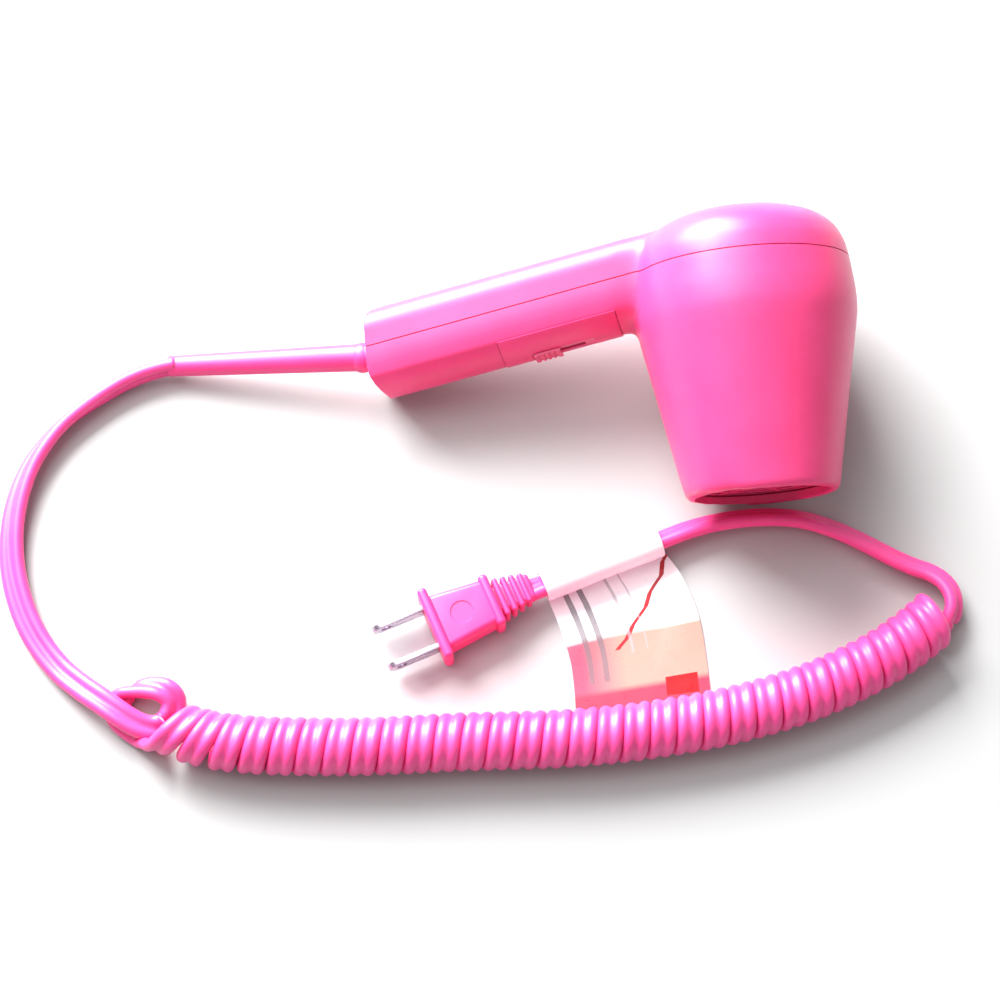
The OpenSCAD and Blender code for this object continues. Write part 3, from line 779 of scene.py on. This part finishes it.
class Finish:
    """One material and its graph."""
    def __init__(self, name, color, rough, metal=0.0, **fixed):
        self.material = bpy.data.materials.new(name)
        self.material.use_nodes = True
        self.tree = self.material.node_tree
        self.shader = self.tree.nodes["Principled BSDF"]
        self.shader.inputs["Base Color"].default_value = (*color, 1)
        self.shader.inputs["Roughness"].default_value = rough
        self.shader.inputs["Metallic"].default_value = metal
        for socket, value in fixed.items():
            self.shader.inputs[socket.replace("_", " ")].default_value = value

    def node(self, kind, settings=None, inputs=None, out=0):
        n = self.tree.nodes.new(kind)
        for key, value in (settings or {}).items():
            setattr(n, key, value)
        for key, value in (inputs or {}).items():
            if isinstance(value, Signal):
                self.tree.links.new(value.socket, n.inputs[key])
            else:
                n.inputs[key].default_value = value
        return Signal(self, n.outputs[out])

    def feed(self, socket, signal):
        self.tree.links.new(signal.socket, self.shader.inputs[socket])

    def place(self, kind="Object"):
        return self.node("ShaderNodeTexCoord", out=kind)

    def noise(self, scale, detail=3.0, rough=0.55, at=None):
        return self.node("ShaderNodeTexNoise", {}, {"Vector": at or self.place(), "Scale": scale,
                                                    "Detail": detail, "Roughness": rough})

    def mix(self, amount, a, b):
        return self.node("ShaderNodeMix", {"data_type": "RGBA"}, {0: amount, 6: a, 7: b}, out=2)

    def spread(self, signal, low, high, to_low, to_high):
        return self.node("ShaderNodeMapRange", {}, {0: signal, 1: low, 2: high, 3: to_low, 4: to_high})

    def bump(self, height, depth):
        self.feed("Normal", self.node("ShaderNodeBump", {}, {"Height": height, "Distance": depth}))


# %% [markdown]
# ## Pink mouldings
# The shells are glossy moulded plastic: one dye, but flow in the mould leaves very
# faint clouds of shade, handling leaves patches of haze in the gloss, and a tool
# that is not quite polished leaves a fine ripple. The cord and plug are flexible
# PVC in the same dye: softer in gloss, with a finer, drier surface.

# %% Glossy shell plastic and flexible PVC
def pink_moulding(name, deep, clear, rough, haze, ripple, ripple_scale, **fixed):
    f = Finish(name, clear, rough, **fixed)
    clouds = f.noise(38, 4, 0.6)
    f.feed("Base Color", f.mix(f.spread(clouds, 0.35, 0.65, 0, 1), (*deep, 1), (*clear, 1)))
    smears = f.noise(130, 5, 0.65)
    f.feed("Roughness", f.spread(smears, 0.3, 0.7, rough - haze, rough + haze))
    f.bump(f.noise(ripple_scale, 4, 0.6), ripple)
    return f.material


shell_pink = pink_moulding("shell_pink", (0.80, 0.046, 0.190), (0.86, 0.058, 0.225), 0.36, 0.03, 0.00001, 420,
                           Coat_Weight=0.15, Coat_Roughness=0.42, Specular_IOR_Level=0.42)
soft_pink = pink_moulding("soft_pink", (0.84, 0.040, 0.225), (0.90, 0.052, 0.265), 0.40, 0.04, 0.00002, 900,
                          Specular_IOR_Level=0.6)
cord_pink = pink_moulding("cord_pink", (0.84, 0.052, 0.260), (0.91, 0.070, 0.310), 0.38, 0.04, 0.00002, 1100,
                          Specular_IOR_Level=0.6)
print("pink finishes made")

# %% [markdown]
# ## Printed film of the tag
# The tag is white film with an abstract print and no lettering: two plain bars, two
# thin lines, a slanting red stroke and a red block. On the outer half a painted
# reflection tints the film pink at one end and beige at the other, and a darker
# strip of pink painted shade runs along the curl. Here u runs along the cord and v
# runs out from it, both from 0 to 1.

# %% The tag's print, its painted reflection and painted shade
tag = Finish("tag_film", (0.93, 0.9, 0.92), 0.3, Specular_IOR_Level=0.5)
along_tag = tag.node("ShaderNodeSeparateXYZ", {}, {0: tag.place("UV")})
out_from_cord = Signal(tag, along_tag.socket.node.outputs[1])
u, v = along_tag, out_from_cord


def stripe(x, mid, half):
    return tag.node("ShaderNodeMath", {"operation": "COMPARE"}, {0: x, 1: mid, 2: half})


# the film's own faint clouds of tone; the painted reflection and painted shade are mixed into it next
film_and_painted_reflection = tag.mix(tag.spread(tag.noise(60, 3), 0.35, 0.65, 0, 1), (0.92, 0.88, 0.91, 1), (0.97, 0.96, 0.97, 1))
# painted reflection: the outer half of the film tinted pink at one end and beige at the other (mask, two tones,
# mix)
painted_reflection_mask = tag.spread(v - 0.06 * u, 0.49, 0.53, 0, 1)
under = tag.mix(tag.spread(u, 0.08, 0.4, 0, 1), (0.60, 0.08, 0.14, 1), (0.40, 0.25, 0.20, 1))
film_and_painted_reflection = tag.mix(painted_reflection_mask, film_and_painted_reflection, under)
# painted shade: a darker pink strip along the flap's edge, where the curl lies over the film
corner = tag.spread(v, 0.84, 0.88, 0, 1)
film_and_painted_reflection = tag.mix(corner, film_and_painted_reflection, (0.55, 0.04, 0.08, 1))
bars = stripe(u, 0.14, 0.022).most(stripe(u, 0.25, 0.022)) * stripe(v, 0.42, 0.38)
ink = tag.mix(bars * 0.8, film_and_painted_reflection, (0.14, 0.13, 0.15, 1))
slope = u - 1.29 + 1.48 * v
red_stroke = stripe(slope, 0.0, 0.02) * stripe(v, 0.41, 0.22)
ink = tag.mix(red_stroke, ink, (0.42, 0.01, 0.02, 1))
panel = stripe(u, 0.47, 0.012) * stripe(v, 0.36, 0.3) + stripe(u, 0.58, 0.006) * stripe(v, 0.36, 0.3)
ink = tag.mix(panel * 0.6, ink, (0.32, 0.32, 0.34, 1))
block_red = stripe(u, 0.80, 0.12) * stripe(v, 0.88, 0.05)
ink = tag.mix(block_red, ink, (0.75, 0.005, 0.01, 1))
tag.feed("Base Color", ink)
tag.feed("Roughness", tag.spread(tag.noise(220, 3), 0.3, 0.7, 0.24, 0.36))
tag.bump(tag.noise(90, 3), 0.00008)
print("tag print made")

# %% [markdown]
# ## Metals, ceramics and the inner pieces
# The inner pieces are seen only when the housing is opened, but each still gets
# its own finish. Metals get fine drawn scratches in their gloss, sheet and
# moulded pieces a grain and clouds of shade, at the scale of the real material.

# %% Drawn or stamped metal
def metal(name, dark, light, rough, streak=(900, 900, 40), depth=0.000006):
    f = Finish(name, light, rough, 1.0)
    stretched = f.node("ShaderNodeMapping", {}, {"Vector": f.place(), "Scale": streak})
    lines = f.noise(1.0, 3, 0.6, stretched)
    f.feed("Base Color", f.mix(f.noise(160, 4), (*dark, 1), (*light, 1)))
    f.feed("Roughness", f.spread(lines, 0.3, 0.7, rough * 0.75, rough * 1.3))
    f.bump(lines, depth)
    return f.material


# %% Grainy sheet, pressed and moulded pieces
def grainy(name, dark, light, rough, scale, depth=0.00003, **fixed):
    f = Finish(name, light, rough, **fixed)
    grain = f.noise(scale, 5, 0.65)
    f.feed("Base Color", f.mix(f.spread(grain, 0.35, 0.65, 0, 1), (*dark, 1), (*light, 1)))
    f.feed("Roughness", f.spread(f.noise(scale * 0.3, 3), 0.3, 0.7, rough - 0.07, rough + 0.07))
    f.bump(grain, depth)
    return f.material


def layered(name, dark, light, rough):
    """Mica: pearly flakes pressed in sheets."""
    f = Finish(name, light, rough)
    flakes = f.node("ShaderNodeTexVoronoi", {}, {"Vector": f.place(), "Scale": 420.0}, out="Color")
    shade = f.node("ShaderNodeSeparateColor", {}, {0: flakes})
    f.feed("Base Color", f.mix(shade, (*dark, 1), (*light, 1)))
    f.feed("Roughness", f.spread(shade, 0, 1, rough - 0.12, rough + 0.1))
    f.bump(shade, 0.00002)
    return f.material


# %% One finish for each material slot of the record
finishes = {
    "pink_shell": shell_pink,
    "pink_soft": soft_pink,
    "pink_cord": cord_pink,
    "label_film": tag.material,
    # the blades' lilac tone is a painted reflection of the pink pieces on plain nickel
    "plated": metal("plated_blade", (0.40, 0.33, 0.44), (0.58, 0.50, 0.62), 0.26, (60, 900, 900)),
    "steel": metal("plain_steel", (0.42, 0.42, 0.44), (0.60, 0.60, 0.62), 0.32),
    "brass": metal("contact_brass", (0.62, 0.42, 0.16), (0.80, 0.60, 0.26), 0.28),
    "copper": metal("enamelled_copper", (0.48, 0.17, 0.06), (0.74, 0.32, 0.13), 0.3, (200, 200, 2600), 0.00004),
    "bronze": metal("sintered_bronze", (0.44, 0.28, 0.12), (0.62, 0.42, 0.20), 0.5, (1500, 1500, 1500)),
    "alloy_wire": metal("heater_wire", (0.26, 0.22, 0.20), (0.44, 0.40, 0.37), 0.4),
    "white_plastic": grainy("duct_plastic", (0.72, 0.71, 0.66), (0.80, 0.79, 0.75), 0.5, 700),
    "black_plastic": grainy("black_moulding", (0.016, 0.016, 0.018), (0.035, 0.035, 0.038), 0.42, 800),
    "mica": layered("mica_sheet", (0.40, 0.31, 0.16), (0.66, 0.56, 0.36), 0.36),
    "ferrite": grainy("ferrite", (0.03, 0.03, 0.033), (0.06, 0.06, 0.065), 0.55, 1500),
    "carbon": grainy("carbon_brush", (0.012, 0.012, 0.012), (0.04, 0.04, 0.04), 0.6, 2400),
    "circuit": grainy("circuit_board", (0.04, 0.17, 0.06), (0.07, 0.24, 0.09), 0.4, 300),
    "yellow_film": grainy("dipped_film", (0.62, 0.40, 0.04), (0.74, 0.50, 0.07), 0.25, 200),
    "black_wire": grainy("black_insulation", (0.014, 0.014, 0.014), (0.03, 0.03, 0.03), 0.38, 900),
    "white_wire": grainy("white_insulation", (0.68, 0.68, 0.65), (0.78, 0.78, 0.75), 0.38, 900),
    "red_wire": grainy("red_insulation", (0.45, 0.012, 0.01), (0.6, 0.02, 0.015), 0.38, 900),
}
slots = {p["node"]: p["material_slot"] for p in frame["record"]["subparts"]}
made = {body: "pink_shell", rear: "pink_shell", plate: "pink_shell", plug: "pink_soft", film: "label_film",
        cord: "pink_cord"}
for obj in bpy.context.scene.objects:
    if obj.type == "MESH":
        slot = slots.get(obj.name) or made.get(obj)
        if obj.name.startswith("plug_blade"):
            slot = "plated"
        if slot:
            obj.data.materials.clear()
            obj.data.materials.append(finishes[slot])
print(len(finishes), "finishes on", len(slots), "nodes")

# %% [markdown]
# ## Table and light
# A plain pale table, a broad soft light from behind and above that whitens the
# dome and the back of the handle, and little light from the front, so that the
# underside falls to a deeper pink.

# %% The table
bpy.ops.object.select_all(action="DESELECT")
bpy.ops.mesh.primitive_plane_add(size=6, location=(0, 0, 0))
table = bpy.context.object
table.name = "table"
pale = Finish("pale_table", (0.43, 0.43, 0.43), 0.6)
pale.feed("Roughness", pale.spread(pale.noise(8, 2), 0.3, 0.7, 0.55, 0.65))
table.data.materials.append(pale.material)


# %% Soft lights
def soft_light(name, where, target, size, power):
    data = bpy.data.lights.new(name, "AREA")
    data.size = size
    data.energy = power
    obj = bpy.data.objects.new(name, data)
    obj.location = where
    obj.rotation_euler = (Vector(target) - Vector(where)).to_track_quat("-Z", "Y").to_euler()
    bpy.context.scene.collection.objects.link(obj)


soft_light("back_light", (-0.5, 0.85, 0.62), (0.0, 0.0, 0.02), 0.9, 74)
soft_light("top_light", (-0.45, 0.3, 1.1), (0.0, 0.0, 0.0), 0.9, 9)
world = bpy.data.worlds.new("studio")
world.use_nodes = True
world.node_tree.nodes["Background"].inputs["Color"].default_value = (1, 1, 1, 1)
world.node_tree.nodes["Background"].inputs["Strength"].default_value = 0.47
bpy.context.scene.world = world
bpy.context.scene.view_settings.view_transform = "Standard"
